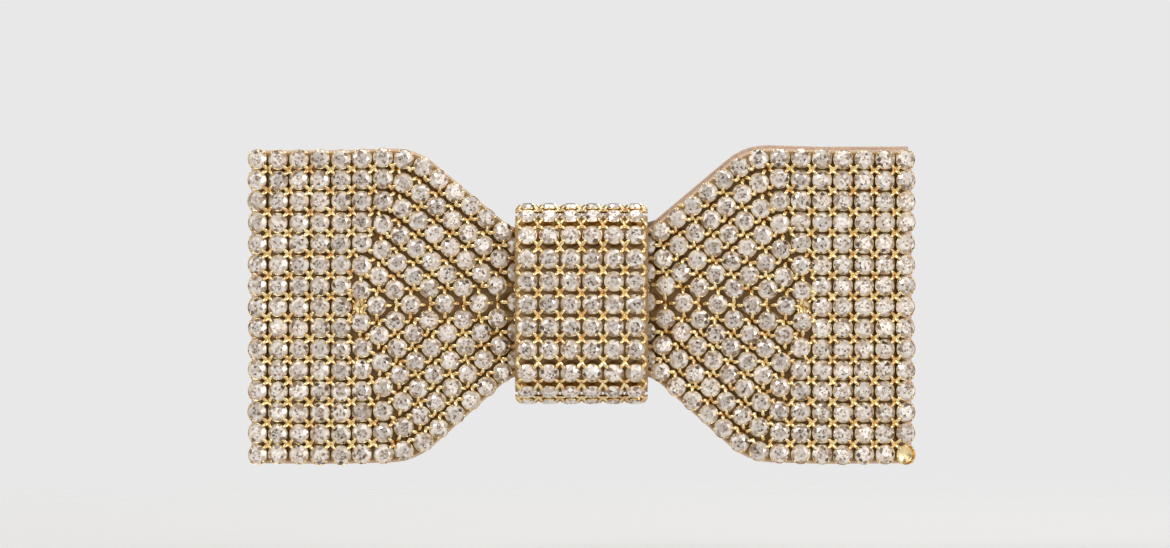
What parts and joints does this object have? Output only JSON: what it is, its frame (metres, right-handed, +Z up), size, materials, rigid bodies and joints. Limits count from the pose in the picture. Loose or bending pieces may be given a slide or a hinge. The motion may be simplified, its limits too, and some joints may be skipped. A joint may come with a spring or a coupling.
{
  "type": "rhinestone hair clip",
  "caption": "Bow-shaped hair clip of cup-set clear rhinestones on padded wings, with a wrapped knot and a sprung barrette clasp on its back.",
  "frame": {"origin": "middle of the gap that holds the hair, between the base plate and the closed arm", "axes": "+Z up as the clip is worn, +X to the right seen from the front, -Y to the bow's front, +Y to the head"},
  "size_m": [0.1112, 0.0268, 0.0534],
  "materials": {
    "crystal": "clear, faceted and foiled behind",
    "gold_cups": "bright light gold plating",
    "lining": "nude woven fabric",
    "padding": "foam",
    "felt": "nude felt",
    "thread": "twisted thread",
    "glue": "clear hot glue",
    "steel": "nickel-plated steel",
    "spring_steel": "spring steel",
    "rivets": "peened steel"
  },
  "bodies": {
    "bow": {"left_stones": "crystal", "right_stones": "crystal", "knot_stones": "crystal", "left_cups": "gold_cups", "right_cups": "gold_cups", "knot_cups": "gold_cups", "left_lining": "lining", "right_lining": "lining", "left_pad": "padding", "right_pad": "padding", "left_felt": "felt", "right_felt": "felt", "waist_thread": "thread", "knot_pad": "padding", "knot_strap": "lining", "glue_pad": "glue", "base_plate": "steel", "hinge_pin": "rivets", "bar_keeper": "steel", "keeper_rivets": "rivets", "catch_plate": "spring_steel", "catch_rivet": "rivets", "left_stitches": "thread", "right_stitches": "thread"},
    "arm": {"clasp_arm": "steel"},
    "tension_bar": {"tension_bar": "spring_steel"},
    "upper_finger": {"upper_finger": "spring_steel"},
    "lower_finger": {"lower_finger": "spring_steel"}
  },
  "joints": [
    {"name": "arm_hinge", "type": "hinge", "parent": "bow", "child": "arm", "pos_m": [-0.038, 0.00556, 0], "axis": [0, 0, 1], "range_deg": [0, 80]},
    {"name": "tension_flex", "type": "hinge", "parent": "bow", "child": "tension_bar", "pos_m": [-0.031, -0.00065, 0], "axis": [0, 0, -1], "range_deg": [0, 0.9], "stiffness_Nm_per_rad": 0.5},
    {"name": "upper_pinch", "type": "hinge", "parent": "bow", "child": "upper_finger", "pos_m": [0.03849, 0.00054, 0.0042], "axis": [-0.2249, 0.9744, 0], "range_deg": [0, 6], "stiffness_Nm_per_rad": 0.1},
    {"name": "lower_pinch", "type": "hinge", "parent": "bow", "child": "lower_finger", "pos_m": [0.03849, 0.00054, -0.0042], "axis": [0.2249, -0.9744, 0], "range_deg": [0, 6], "stiffness_Nm_per_rad": 0.1}
  ]
}
